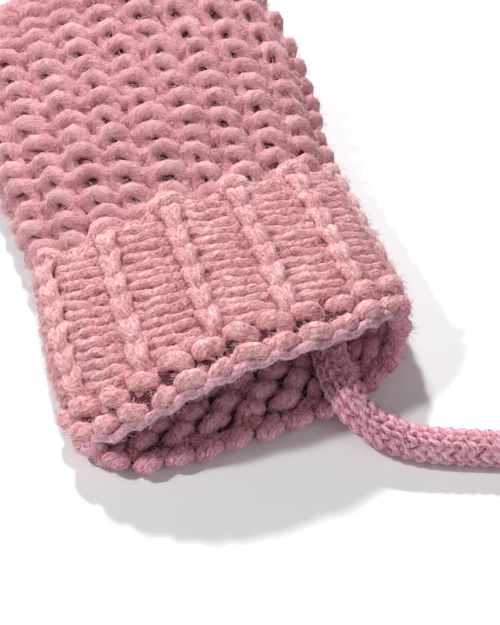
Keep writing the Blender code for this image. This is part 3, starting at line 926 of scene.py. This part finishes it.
def hankRoute():
    floor, over = cord["floor"] * 1000, hank["over"]
    offset = mitten["spacing"] * 1000
    route = [(15.0, 19.0, 8.2), (13.8, 11.8, 8.2), (11.8, 5.0, 8.2), (11.3, -1.0, 8.1), (12.6, -5.0, 6.6),
             (15.8, -9.5, 4.8), (20.4, -13.0, 3.8), (26.2, -16.0, floor), (36.2, -20.0, floor),
             (43.0, -24.3, floor), (49.5, -28.1, floor), (55.1, -29.3, floor), (66.0, -29.7, floor),
             (78.0, -30.6, floor), (90.0, -31.8, floor), (100.0, -32.6, floor)]

    def pinch(fromMiddle, height=floor):  # where the tie holds the runs together
        route.append((hank["pinchX"], hank["middleY"] + fromMiddle, height))

    def fold(x, y, radius, table):  # table: angles in degrees and heights
        angles = np.arange(table[0][0], table[-1][0] + 0.1, hank["foldStep"])
        for angle, height in zip(np.radians(angles), np.interp(angles, *zip(*table))):
            route.append((x + radius * math.cos(angle), y + radius * math.sin(angle), height))

    pinch(-hank["apart"])
    fold(hank["rightX"], hank["middleY"], hank["innerFold"], [(-112, floor), (112, floor)])
    pinch(hank["apart"])
    fold(*hank["innerLeft"], [(66, floor), (98, floor + 0.6), (130, 7.2), (158, over), (174, over),
                              (200, 8.0), (222, 5.0), (244, floor), (294, floor)])
    pinch(-3 * hank["apart"])
    fold(hank["rightX"], hank["middleY"], hank["outerFold"], [(-113, floor), (113, floor)])
    pinch(3 * hank["apart"])
    fold(*hank["outerLeft"], [(67, floor), (95, 4.6), (120, 7.2), (145, 9.8), (165, over), (185, 11.2),
                              (203, 12.8), (224, 13.0), (245, 11.8), (265, 10.8), (293, 9.8)])
    pinch(*hank["lastRun"])
    route.extend([(113.0, -37.8, 10.1), (117.5, -39.6, 10.4), (122.5, -39.9, 10.2), (127.3, -38.0, 10.5),
                  (131.2, -34.4, 9.9), (133.7, -29.6, 9.3), (134.6, -24.0, 9.5), (134.7, -18.0, 10.3),
                  (134.6, -12.0, 10.7), (134.5, -7.0, 10.6), (offset + 11.9, -3.6, 10.2),
                  (offset + 11.7, 0.8, 9.4), (offset + 12.0, 7.0, 8.2), (offset + 13.8, 14.0, 8.2),
                  (offset + 15.0, 19.0, 8.2)])
    return np.array(route) / 1000 + np.array((axisOf["left"], mitten["hemY"], 0.0))


def evenly(line, step):  # the same line with points one step apart, and its length
    length = lengthAlong(line)
    places = np.linspace(0, length[-1], int(length[-1] / step) + 1)
    return np.stack([np.interp(places, length, axis) for axis in line.T], axis=1), length[-1]


def evenRoute(points, step, easing):  # a smooth line near the points, resampled evenly
    line = evenly(points, step)[0]
    for _ in range(easing):  # takes the corners out
        line[1:-1] = (line[:-2] + 2 * line[1:-1] + line[2:]) / 4
    return evenly(line, step)


def roundAngles(count):
    return np.linspace(0, 2 * math.pi, count, endpoint=False)


def tubePiece(name, line, radius, side, tangent, angles, along, depth, finish):  # a closed tube round a line
    up = np.cross(side, tangent)
    ways = np.cos(angles)[None, :, None] * side[:, None, :] + np.sin(angles)[None, :, None] * up[:, None, :]
    ring = line[:, None, :] + radius[..., None] * ways
    ring[..., 2] = np.maximum(ring[..., 2], cord["leastZ"])
    faces, index = gridFaces(*radius.shape, True)
    faces = faces.tolist() + [index[0, :-1].tolist(), index[-1, :-1][::-1].tolist()]
    numbers = {"depth": depth.reshape(-1), "along": np.repeat(along, len(angles))}
    piece = smoothPiece(name, ring.reshape(-1, 3), faces, finish, numbers)
    around = np.zeros(ring.shape)
    around[..., 0], around[..., 1] = np.cos(angles), np.sin(angles)
    keepVectors(piece.data, "around", around)
    return piece


tie = dict(
    thick=0.0020, turns=3, spread=0.0021, snug=0.42, lift=0.4, roundPoints=48, outlinePoints=240,
    tail=0.011, tailFrom=6, tailApart=0.0011, knotWidth=0.0042, knotHeight=0.0011, knotSway=0.0006,
    knotLift=0.45, knotPoints=40, step=0.0004, keepEvery=3, easing=6, sides=10, twist=0.004, oval=0.08,
    # depth: a fixed depth, which sets where the tie sits on the yarn finish's painted shade
    depth=-0.0006,
)


def tightOutline(cloud):  # the outline that a tight strand takes: the furthest points in every direction
    order = sorted(map(tuple, cloud))
    hull = []
    for points in (order, order[::-1]):
        chain = []
        for y, z in points:
            while len(chain) > 1:
                (fromY, fromZ), (lastY, lastZ) = chain[-2:]
                if (lastY - fromY) * (z - fromZ) > (lastZ - fromZ) * (y - fromY):
                    break
                chain.pop()
            chain.append((y, z))
        hull += chain[:-1]
    hull = np.array(hull + hull[:1])
    length = lengthAlong(hull)
    even = np.linspace(0, length[-1], tie["outlinePoints"], endpoint=False)
    outline = np.stack([np.interp(even, length, hull[:, 0]), np.interp(even, length, hull[:, 1])], axis=1)
    return np.roll(outline, -int(outline[:, 1].argmax()), axis=0)


def tieLine(path):  # one tail, the knot, the turns round the hank and the other tail
    middleX = axisOf["left"] + hank["pinchX"] / 1000
    near = [k for k in range(1, len(path)) if (path[k - 1][0] - middleX) * (path[k][0] - middleX) <= 0]
    reach = cord["thick"] / 2 + tie["thick"] * tie["snug"]
    angles = roundAngles(tie["roundPoints"])
    circle = reach * np.stack([np.cos(angles), np.sin(angles)], axis=1)
    outline = tightOutline(np.concatenate([path[k][1:] + circle for k in near]))
    topY, topZ = outline[0]
    count = len(outline)
    wraps = np.array([
        (middleX + (k / count - tie["turns"] / 2) * tie["spread"], *outline[k % count])
        for k in range(count * tie["turns"] + 1)
    ])
    wraps[:, 2] = np.maximum(wraps[:, 2], tie["thick"] * tie["lift"])
    turn = np.linspace(0, 2 * math.pi, tie["knotPoints"])
    knotZ = topZ + tie["thick"] * tie["knotLift"] + tie["knotHeight"] * np.sin(turn)
    knotY = topY + tie["knotSway"] * np.sin(2 * turn)
    knot = np.stack([middleX - tie["knotWidth"] * np.cos(turn), knotY, knotZ], axis=1)
    topRun = max(near, key=lambda k: path[k][2])
    steps = np.arange(tie["tailFrom"], int(tie["tail"] / cord["step"]))
    tails = [path[topRun + way * steps] + np.array((0.0, way * tie["tailApart"], reach)) for way in (-1, 1)]
    return np.concatenate([tails[0][::-1], knot[2:-2], wraps, tails[1]])


def buildTie(path):  # a strand of yarn round the middle of the hank, knotted on top
    line, length = evenRoute(tieLine(path)[::tie["keepEvery"]], tie["step"], tie["easing"])
    along = np.linspace(0, length, len(line))
    tangent = unit(np.gradient(line, axis=0))
    side = [np.cross(tangent[0], (0.0, 0.0, 1.0))]
    for direction in tangent[1:]:  # carried along, so that the strand never flips over
        across = side[-1] - direction * np.dot(side[-1], direction)
        side.append(across / max(np.linalg.norm(across), 1e-9))
    angles = roundAngles(tie["sides"])
    winding = 2 * angles[None, :] + along[:, None] * 2 * math.pi / tie["twist"]
    radius = tie["thick"] / 2 * (1 + tie["oval"] * np.cos(winding))
    depth = np.full(radius.shape, tie["depth"])
    return tubePiece("hankTie", line, radius, np.array(side), tangent, angles, along, depth, yarnFinish)


def buildCord():
    path, length = evenRoute(hankRoute(), cord["step"], cord["easing"])
    along = np.linspace(0, length, len(path))
    tangent = unit(np.gradient(path, axis=0))
    side = unit(np.cross(tangent, (0.0, 0.0, 1.0)))
    angles = roundAngles(cord["sides"])
    # knit relief: each wale is a column of V stitches
    wale = ((angles / (2 * math.pi) * cord["wales"] + 0.5 + along[:, None] * cord["waleTurns"]) % 1.0) - 0.5
    row = along[:, None] / cord["row"] + cord["rowSlant"] * np.abs(wale)
    across = np.abs(np.cos(math.pi * (np.abs(wale) - 0.25) / 0.5)) ** cord["legPower"]
    down = np.abs(np.sin(math.pi * (row % 1.0))) ** cord["rowPower"]
    leg = (cord["legEdge"] + (1 - cord["legEdge"]) * across) * (cord["rowGap"] + (1 - cord["rowGap"]) * down)
    relief = cord["relief"] * (leg * 2 - cord["sunk"])
    radius = cord["thick"] / 2 + relief
    # the relief is also the depth by which the cord's finish paints shade into the gaps between the stitches
    piece = tubePiece("knittedCord", path, radius, side, tangent, angles, along, relief, cordFinish)
    tiePiece = buildTie(path)
    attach(piece, "root")
    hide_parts("cord_left_end", "cord_hank", "cord_right_end")
    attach(tiePiece, "root")
    print(f"cord is laid: {length:.3f} m")


buildCord()
for side in axisOf:
    buildMitten(side)
for helper in (*stitches.values(), looseFibre):
    bpy.data.objects.remove(helper)

scene.view_settings.view_transform = "Standard"
